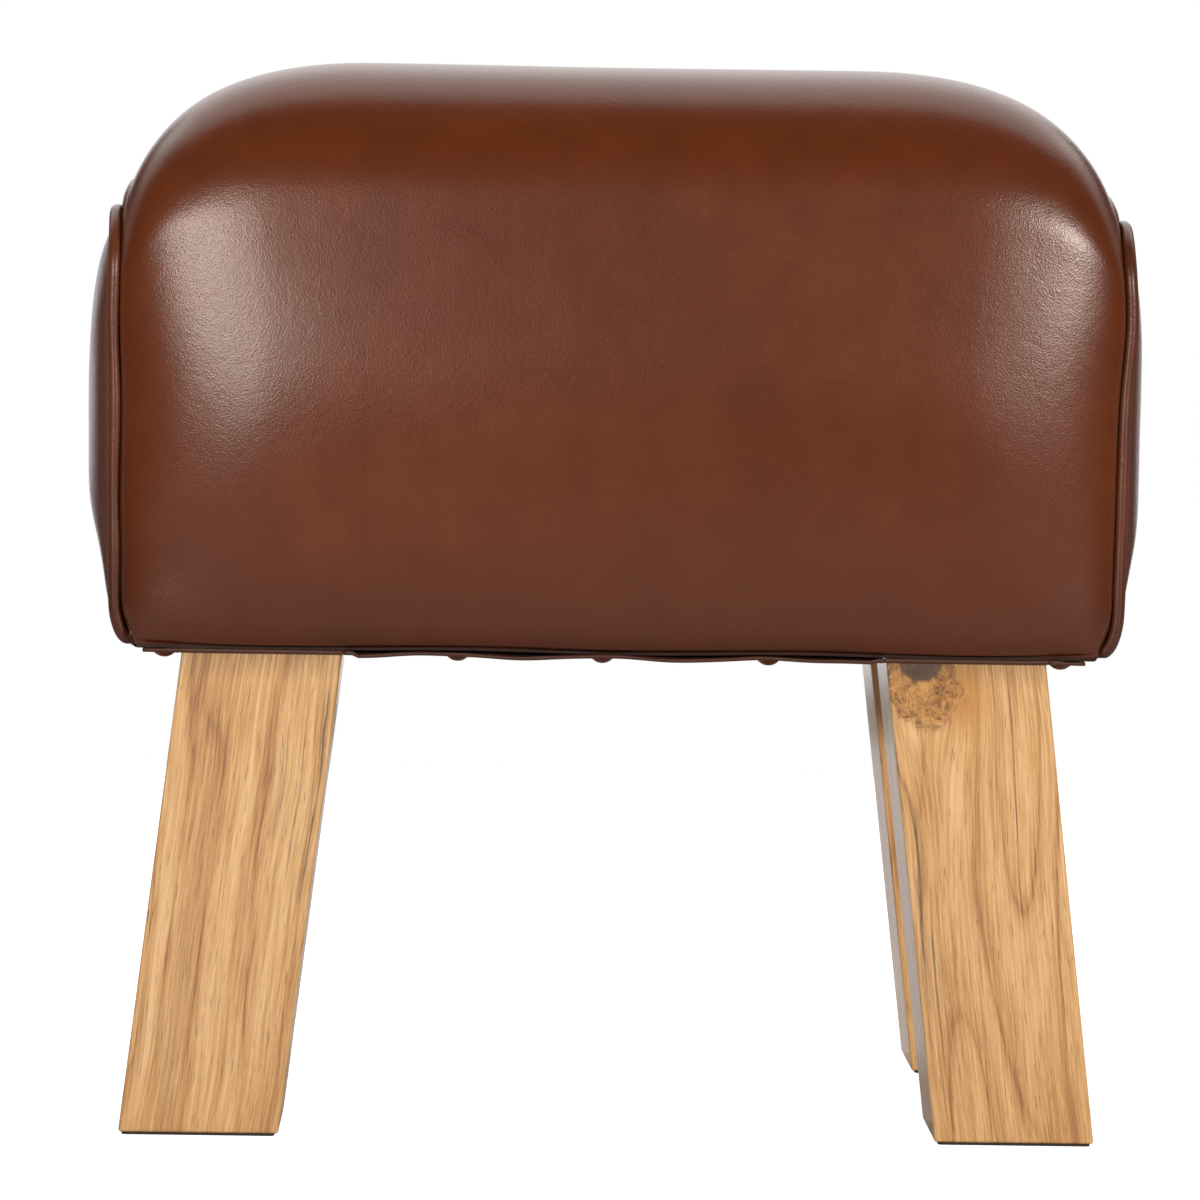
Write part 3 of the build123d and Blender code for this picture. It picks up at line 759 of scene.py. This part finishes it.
def panel_points(sign):
    """Square grid of points over an end panel, and how near the edge each ring lies."""
    u = np.linspace(-1, 1, PANEL_CELLS + 1)
    gu, gv = np.meshgrid(u, u, indexing="ij")
    ring = np.maximum(np.abs(gu), np.abs(gv))
    across = gu / np.maximum(ring, 1e-9)
    up = gv / np.maximum(ring, 1e-9)
    inward = (1 - ring) ** 1.6
    height = (END_TOP - END_LOW) / 2
    sides = PANEL_EDGE + (END_HALF_DEPTH - PANEL_EDGE) * inward
    top = PANEL_EDGE + (height - PANEL_EDGE) * inward
    low = height * inward**0.5 * (1 - np.exp(-((inward / 0.06) ** 1.2)))
    half_d = END_HALF_DEPTH - sides
    half_h = (2 * height - top - low) / 2
    middle = END_LOW + low + half_h
    y = across * half_d
    z = up * half_h
    corner = np.minimum(PANEL_CORNER, half_h * 0.9)
    corner = np.where(up > 0, corner, np.minimum(corner, PANEL_FOOT_CORNER))
    corner = np.minimum(corner, half_d * 0.9)
    over_y = np.abs(y) - (half_d - corner)
    over_z = np.abs(z) - (half_h - corner)
    both = (over_y > 0) & (over_z > 0)
    pull = np.where(both, corner / np.maximum(np.hypot(over_y, over_z), 1e-9), 1.0)
    square = np.maximum(over_y, over_z) / np.maximum(corner, 1e-9)
    y = np.where(both, np.sign(y) * (half_d - corner + over_y * pull * square), y)
    z = np.where(both, np.sign(z) * (half_h - corner + over_z * pull * square), z)
    z = z + middle
    rise = PANEL_RISE * (1 - (1 - inward) ** 2.6) ** (1 / 2.0)
    shift = end_shift(sign, y, z) * (1 - inward) ** 2
    x = PANEL_SEAT + rise * (1 - np.clip(shift, 0, None) / PANEL_RISE) + shift
    x = sign * (x - PANEL_PULL * low_pull(z))
    return np.stack([x, y, z], -1), ring


def make_panel(side, sign):
    """Stuffed end panel: sewn along the top and sides, turned under the seat below."""
    pts, ring = panel_points(sign)
    low_edge = pts[:, 0]
    hem = []
    for k in (1, 2, 3, 4):
        share = k / 4
        row = low_edge.copy()
        row[:, 0] += (sign * HEM_END - row[:, 0]) * share
        row[:, 1] *= 1 - 0.02 * share
        row[:, 2] = END_LOW + 0.4 + (HEM_LOW - END_LOW - 0.4) * min(1.0, share * 2)
        hem.append(row)
    grid = np.concatenate([np.stack(hem[::-1], axis=1), pts], axis=1)
    rows, cols = grid.shape[:2]
    faces = grid_faces(rows, cols)
    obj = add_mesh("panel_leather_" + side, grid.reshape(-1, 3), faces)
    face_outward(obj, sign)
    pinned = np.ones((rows, cols), bool)
    pinned[:, len(hem):] = ring > SEWN_SHARE
    stuff(obj, pinned.ravel(), pressure=3.0)
    skin(obj, PANEL_THICK)
    flat = verts_of(obj)
    highest = BOARD_LOW - CLEARANCE
    under = (np.abs(flat[:, 0]) < PANEL_SEAT - 2.0) & (flat[:, 2] > highest)
    flat[under, 2] = highest
    set_verts(obj, flat)
    finish_piece(obj, LEATHER)
    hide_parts("end_panel_" + side)
    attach(obj, "root")


WELT_TURN_IN = 6.2
WELT_TURN_UP = 16.0
WELT_SIDES = 14


def welt_path(sign):
    """Middle line of a welt: from under the front corner, up, over and down to the back."""
    half_d = END_HALF_DEPTH - WELT_RADIUS
    top = END_TOP - WELT_RADIUS
    corner = PANEL_CORNER - WELT_RADIUS
    foot = [
        (WELT_TURN_IN * (math.sin(t) - 1), -half_d + 2.4 * (1 - math.sin(t)),
         END_LOW + WELT_TURN_UP - (WELT_TURN_UP - 0.2) * math.cos(t))
        for t in np.linspace(0, math.pi / 2, 12)[:-1]
    ]
    tail = [(-WELT_TURN_IN - 4.5, -half_d + 5.5, END_LOW + 1.6)] + foot
    side = [(0.0, -half_d, z) for z in np.linspace(END_LOW + WELT_TURN_UP, top - corner, 34)]
    turn = [
        (0.0, -half_d + corner - corner * math.cos(t), top - corner + corner * math.sin(t))
        for t in np.linspace(0, math.pi / 2, 11)[1:]
    ]
    bar = [(0.0, y, top) for y in np.linspace(-half_d + corner, 0, 20)[1:]]
    half = np.array(tail + side + turn + bar)
    path = np.vstack([half, half[:-1][::-1] * np.array([1, -1, 1])])
    path[:, 0] = sign * (WELT_X + path[:, 0] + end_shift(sign, path[:, 1], path[:, 2]))
    return path


def make_welt(side, sign):
    """Rolled border between wrap and end panel, slightly flattened and uneven."""
    path = welt_path(sign)
    ahead = np.gradient(path, axis=0)
    ahead /= np.linalg.norm(ahead, axis=1, keepdims=True)
    across = np.tile([1.0, 0.0, 0.0], (len(path), 1))
    across -= ahead * (across * ahead).sum(axis=1, keepdims=True)
    across /= np.linalg.norm(across, axis=1, keepdims=True)
    out = np.cross(ahead, across)
    uneven = smooth_noise(path[:, 1], path[:, 2], 21 + sign, 45.0)[:, None]
    loops = []
    for k in range(WELT_SIDES):
        t = 2 * math.pi * k / WELT_SIDES
        wide = (WELT_RADIUS + 0.25) * math.cos(t) * (1 + 0.05 * uneven)
        tall = (WELT_RADIUS + 0.1) * math.sin(t) * (1 + 0.04 * uneven)
        loops.append(path + across * wide + out * tall)
    obj = close_tube("welt_leather_" + side, np.stack(loops, axis=1))
    finish_piece(obj, EDGE_LEATHER)
    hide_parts("end_welt_" + side)
    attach(obj, "root")


# ------------------------------------------------------------------ foam under the leather
FOAM_SQUEEZE = 2.5


def make_foam(node, inward):
    """Foam block pressed a little smaller by the leather, moved towards the seat's middle."""
    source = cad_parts[node]
    obj = add_object(node + "_pressed", source.data.copy())
    obj.matrix_world = source.matrix_world.copy()
    points = verts_of(obj)
    middle = (points.min(axis=0) + points.max(axis=0)) / 2
    half = (points.max(axis=0) - points.min(axis=0)) / 2
    inward = np.array(inward, float)
    keep = np.where(inward == 0, 1 - FOAM_SQUEEZE / half, 1.0)
    set_verts(obj, middle + (points - middle) * keep + inward * FOAM_SQUEEZE)
    dress(obj, FOAM)
    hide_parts(node)
    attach(obj, "root")


# ------------------------------------------------------------------ strips and dust cover
STRIP_THICK = 1.5
STRIP_FACE = 134.4
STRIP_FACE_AT_LEG = 132.7
STRIP_SAG = 1.1
END_STRIP_SAG = 0.9
SAG_AT_LEG = 0.1
COVER_CELL = 4.0
COVER_THICK = 0.3
COVER_HELD_X = 20.0
COVER_HELD_Y = 18.0
COVER_DROP = 0.75
COVER_SAG = 1.4
COVER_PUCKER = 0.25
LEG_GAP = 2.5


def sag_between(x, marks, depth):
    """Drop of a nailed strip: nothing at each nail, most halfway between two nails."""
    marks = np.sort(np.asarray(marks))
    k = np.clip(np.searchsorted(marks, x), 1, len(marks) - 1)
    share = (x - marks[k - 1]) / (marks[k] - marks[k - 1])
    return depth * np.sin(math.pi * np.clip(share, 0, 1)) ** 2


def leg_spans(sign_y):
    """Where the legs of one side pass the strip, along X, in millimetres."""
    end = "front" if sign_y < 0 else "back"
    spans = []
    for side, sign in (("left", -1), ("right", 1)):
        top_out = sign * (LEG_FOOT[end] - LEG_LEAN * STRIP_LOW[2])
        spans.append(sorted((top_out, top_out - sign * LEG_WIDTH)))
    return spans


def beside_legs(xs, spans, reach):
    """Which points of a strip are within reach of a leg."""
    return np.any([(xs > low - reach) & (xs < high + reach) for low, high in spans], axis=0)


def strip_rows(xs, inner, outer, sign_y, sag, wave):
    """Loops of a flat nailed strip along X: tight at its inner edge, its outer edge folded round."""
    rows = []
    for x, near, far, drop, fold in zip(xs, inner, outer, sag, wave):
        low = STRIP_LOW[2] - drop
        top = low + STRIP_THICK
        middle = 0.5 * (near + far)
        loop = [
            (near, top + drop), (near, low + drop), (middle, low + 0.6 * drop), (far - 0.9, low),
            (far - 0.3, low + 0.25), (far, low + 0.75), (far - 0.1, top - 0.1 + fold),
            (far - 0.4, top + 0.1 + fold), (far - 0.7, top + 0.05), (middle - 0.2, top + 0.6 * drop),
        ]
        rows.append([(x, sign_y * y, z) for y, z in loop])
    return np.array(rows)


def make_long_strip(end, sign_y, nails):
    """Strip along the front or back, cut around the legs and wavy between its nails."""
    half = STRIP_HIGH[0] - 1.0
    spans = leg_spans(sign_y)
    cuts = [v + d for span in spans for v in span for d in (-1.4, -0.9, 0.9, 1.4)]
    xs = np.array(sorted(set(np.linspace(-half, half, 150).tolist() + cuts)))
    inside = beside_legs(xs, spans, 1.1)
    inner = np.where(inside, LEG_FACE + 0.35, STRIP_IN)
    outer = np.where(inside, STRIP_FACE_AT_LEG, STRIP_FACE)
    sag = sag_between(xs, nails, STRIP_SAG) + 0.25 * smooth_noise(xs, xs * 0, 31 + sign_y, 40.0)
    ragged = 0.15 * smooth_noise(xs, xs * 0, 37 + sign_y, 26.0)
    by_leg = beside_legs(xs, spans, 6.0)
    sag = np.where(by_leg, np.minimum(sag, SAG_AT_LEG), sag)
    ragged = np.where(by_leg, 0.3, ragged)
    rows = strip_rows(xs, inner, outer, sign_y, sag, ragged)
    obj = close_tube("strip_" + end, rows)
    finish_strip(obj, "base_strip_" + end)


def make_end_strip(side, sign_x, nails):
    """Flat strip across an end, between the legs' rows."""
    low, high = box_mm("base_strip_" + side)
    half = high[1] - 0.3
    ys = np.linspace(-half, half, 90)
    near, far = sorted((abs(low[0]), abs(high[0])))
    front_leg = LEG_FOOT["front"] - LEG_LEAN * STRIP_LOW[2] + 0.8
    back_leg = LEG_FOOT["back"] - LEG_LEAN * STRIP_LOW[2] + 0.8
    inner = np.full(len(ys), near)
    inner = np.where(ys < -LEG_INNER_Y + 1, np.maximum(inner, front_leg), inner)
    inner = np.where(ys > LEG_INNER_Y - 1, np.maximum(inner, back_leg), inner)
    sag = sag_between(ys, nails, END_STRIP_SAG)
    rows = []
    for y, edge, drop in zip(ys, inner, sag):
        base = STRIP_LOW[2] - drop
        top = base + STRIP_THICK
        loop = [(edge, top), (edge, base), ((edge + far) / 2, base), (far - 0.3, base),
                (far, base + 0.7), (far - 0.3, top), ((edge + far) / 2, top)]
        rows.append([(sign_x * x, y, z) for x, z in loop])
    obj = close_tube("strip_" + side, np.array(rows))
    finish_strip(obj, "base_strip_" + side)


def finish_strip(obj, node):
    shade_smooth(obj)
    dress(obj, STRIP_LEATHER)
    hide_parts(node)
    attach(obj, "root")


def make_dust_cover():
    """Thin cloth under the base board, stretched between the strips and cut around the legs."""
    half_x, half_y = COVER_HIGH[0], COVER_HIGH[1]
    xs = np.linspace(-half_x, half_x, int(2 * half_x / COVER_CELL) + 1)
    ys = np.linspace(-half_y, half_y, int(2 * half_y / COVER_CELL) + 1)
    gx, gy = np.meshgrid(xs, ys, indexing="ij")
    ease_x = np.clip((half_x - COVER_HELD_X - np.abs(gx)) / 60.0, 0, 1)
    ease_y = np.clip((half_y - COVER_HELD_Y - np.abs(gy)) / 50.0, 0, 1)
    pucker = COVER_PUCKER * smooth_noise(gx, gy, 51, 70.0) * ease_x * ease_y
    z = COVER_HIGH[2] - COVER_DROP - COVER_SAG * np.sqrt(ease_x * ease_y) + pucker
    faces = []
    cols = len(ys)
    for i in range(len(xs) - 1):
        for j in range(cols - 1):
            x, y = (xs[i] + xs[i + 1]) / 2, (ys[j] + ys[j + 1]) / 2
            low, high = leg_spans(np.sign(y))[0 if x < 0 else 1]
            if low - LEG_GAP < x < high + LEG_GAP and abs(y) > LEG_INNER_Y - LEG_GAP:
                continue
            a = i * cols + j
            faces.append((a, a + cols, a + cols + 1, a + 1))
    obj = add_mesh("dust_cloth", np.stack([gx, gy, z], -1).reshape(-1, 3), faces)
    bm = bmesh.new()
    bm.from_mesh(obj.data)
    bmesh.ops.delete(bm, geom=[v for v in bm.verts if not v.link_faces], context="VERTS")
    bm.to_mesh(obj.data)
    area = sum(face.calc_area() for face in bm.faces)
    bm.free()
    tidy_normals(obj)
    skin(obj, COVER_THICK)
    shade_smooth(obj)
    dress(obj, CLOTH)
    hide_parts("dust_cover")
    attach(obj, "root")


# ------------------------------------------------------------------ camera, light, floor
CAM = (-55.3, -2382.0, 366.4)
CAM_YAW = 1.2434
CAM_PITCH = 3.5783
CAM_ROLL = 0.9422
CAM_LENS = 163.56


def place_on_axes(obj, right, up, back, place):
    """Sets an object's place in metres and the directions of its own three axes."""
    m = Matrix.Identity(4)
    for i in range(3):
        m[i][0], m[i][1], m[i][2], m[i][3] = right[i], up[i], back[i], place[i]
    obj.matrix_world = m


def make_camera():
    data = bpy.data.cameras.new("camera")
    data.lens = CAM_LENS
    data.sensor_width = 36.0
    obj = add_object("camera", data)
    yaw, pitch, roll = (math.radians(v) for v in (CAM_YAW, CAM_PITCH, CAM_ROLL))
    ahead = np.array([math.sin(yaw) * math.cos(pitch), math.cos(yaw) * math.cos(pitch), -math.sin(pitch)])
    right = np.cross(ahead, [0, 0, 1.0])
    right /= np.linalg.norm(right)
    up = np.cross(right, ahead)
    rolled_right = right * math.cos(roll) + up * math.sin(roll)
    rolled_up = -right * math.sin(roll) + up * math.cos(roll)
    place_on_axes(obj, rolled_right, rolled_up, -ahead, [v * MM for v in CAM])
    bpy.context.scene.camera = obj


def area_light(name, place, target, size, radiance):
    """Soft panel of light at a place, facing a target; radiance is how bright its face looks."""
    data = bpy.data.lights.new(name, "AREA")
    data.shape = "RECTANGLE"
    data.size, data.size_y = size
    data.energy = radiance * math.pi * size[0] * size[1]
    data.spread = math.pi
    obj = add_object(name, data)
    obj.visible_camera = False
    place, target = np.array(place, float), np.array(target, float)
    back = place - target
    back /= np.linalg.norm(back)
    right = np.cross([0, 0, 1.0], back)
    right /= np.linalg.norm(right)
    up = np.cross(back, right)
    place_on_axes(obj, right, up, back, place)


def make_world():
    """White surround for the camera, dim for everything that lights the seat."""
    world = bpy.data.worlds.new("studio")
    bpy.context.scene.world = world
    world.use_nodes = True
    tree = world.node_tree
    tree.nodes.clear()
    out = tree.nodes.new("ShaderNodeOutputWorld")
    both = tree.nodes.new("ShaderNodeMixShader")
    path = tree.nodes.new("ShaderNodeLightPath")
    dim = tree.nodes.new("ShaderNodeBackground")
    pale = tree.nodes.new("ShaderNodeBackground")
    for background, strength in ((dim, 0.07), (pale, 1.0)):
        background.inputs[0].default_value = (1, 1, 1, 1)
        background.inputs[1].default_value = strength
    tree.links.new(path.outputs["Is Camera Ray"], both.inputs[0])
    tree.links.new(dim.outputs[0], both.inputs[1])
    tree.links.new(pale.outputs[0], both.inputs[2])
    tree.links.new(both.outputs[0], out.inputs[0])


def make_studio():
    """Two small bright boxes for the highlights, dim broad panels behind, and a pale floor."""
    make_world()
    area_light("left_box", (-0.74, -1.97, 0.675), (-0.1, -0.14, 0.34), (0.46, 0.32), 43.0)
    area_light("right_box", (1.165, -1.87, 0.825), (0.17, -0.14, 0.34), (0.33, 0.175), 152.0)
    area_light("top_back", (0, 1.2, 2.32), (0, 0.1, 0.4), (4.0, 2.4), 1.85)
    area_light("back_wall", (0, 2.6, 0.9), (0, 0, 0.35), (2.4, 2.0), 1.5)
    area_light("left_wall", (-2.6, 0.9, 0.7), (0, 0, 0.3), (1.8, 1.4), 0.45)
    area_light("right_wall", (2.6, 0.9, 0.7), (0, 0, 0.3), (1.8, 1.4), 0.45)
    area_light("left_rim", (-2.0, 1.1, 1.9), (0, 0, 0.4), (1.2, 1.0), 1.3)
    area_light("right_rim", (2.0, 1.1, 1.9), (0, 0, 0.4), (1.2, 1.0), 1.3)
    paper = Nodes("floor_paper")
    grain = paper.noise(paper.coord, 60.0, 3.0)
    paper.set(
        Base_Color=paper.ramp(grain, (0.3, (0.54, 0.54, 0.54)), (0.7, (0.57, 0.57, 0.57))),
        Roughness=0.9, Emission_Color=(1, 1, 1, 1),
    )
    seen = paper.tree.nodes.new("ShaderNodeLightPath").outputs["Is Camera Ray"]
    paper.link(paper.times(seen, 0.95), paper.shader.inputs["Emission Strength"])
    corners = [(-1500, -1500, 0), (1500, -1500, 0), (1500, 1500, 0), (-1500, 1500, 0)]
    floor = add_mesh("floor", corners, [(0, 1, 2, 3)], False)
    dress(floor, paper.mat)
    view = bpy.context.scene.view_settings
    view.view_transform = "Standard"
    view.look = "None"


# ------------------------------------------------------------------ assemble
def dress_frame():
    """Better materials on the CAD nodes that stay: the knot and streaks are on the front legs."""
    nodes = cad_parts
    dress(nodes["leg_front_left"], teak("teak_front_left", -1, 1.0, streaks=(
        (-155.5, 118.0, 178.0, 0.9), (-141.0, 92.0, 200.0, 1.3), (-148.0, 105.0, 190.0, 0.5))))
    dress(nodes["leg_front_right"], teak("teak_front_right", 1, 2.0, (151.0, 203.0), (
        (184.5, 95.0, 205.0, 0.4), (142.0, 55.0, 150.0, 1.6), (146.0, 30.0, 120.0, 0.5))))
    dress(nodes["leg_back_left"], teak("teak_back_left", -1, 3.0))
    dress(nodes["leg_back_right"], teak("teak_back_right", 1, 4.0))
    ply = plain_wood("plywood", srgb(214, 184, 140), srgb(176, 138, 92), True)
    pine = plain_wood("softwood", srgb(222, 190, 140), srgb(186, 146, 96))
    beech = plain_wood("dowel_beech", srgb(220, 188, 148), srgb(196, 156, 112))
    zinc = metal("zinc", (0.62, 0.63, 0.64), 0.34)
    rubber = rubber_material()
    brass = metal("antique_nail", srgb(128, 74, 48), 0.38, 1200.0)
    for name, obj in nodes.items():
        if name in ("base_board", "box_lid"):
            dress(obj, ply)
        elif name.startswith("box_"):
            dress(obj, pine)
        elif name == "leg_dowels":
            dress(obj, beech)
        elif name in ("hanger_bolts", "tee_nuts", "frame_screws"):
            dress(obj, zinc)
        elif name.startswith("foot_pad"):
            dress(obj, rubber)
        elif name == "upholstery_nails":
            dress(obj, brass)


CLOTH = cambric_material()
FOAM = foam_material()
make_wrap()
for side_name, side_sign in (("left", -1), ("right", 1)):
    make_panel(side_name, side_sign)
    make_welt(side_name, side_sign)
    make_end_strip(side_name, side_sign, NAILS_END)
make_long_strip("front", -1, NAILS_FRONT)
make_long_strip("back", 1, NAILS_BACK)
make_dust_cover()
for foam_name, foam_inward in (("foam_left", (1, 0, 0)), ("foam_right", (-1, 0, 0)),
                               ("foam_front", (0, 1, 0)), ("foam_back", (0, -1, 0)),
                               ("foam_top", (0, 0, -1))):
    make_foam(foam_name, foam_inward)
dress_frame()
make_camera()
make_studio()
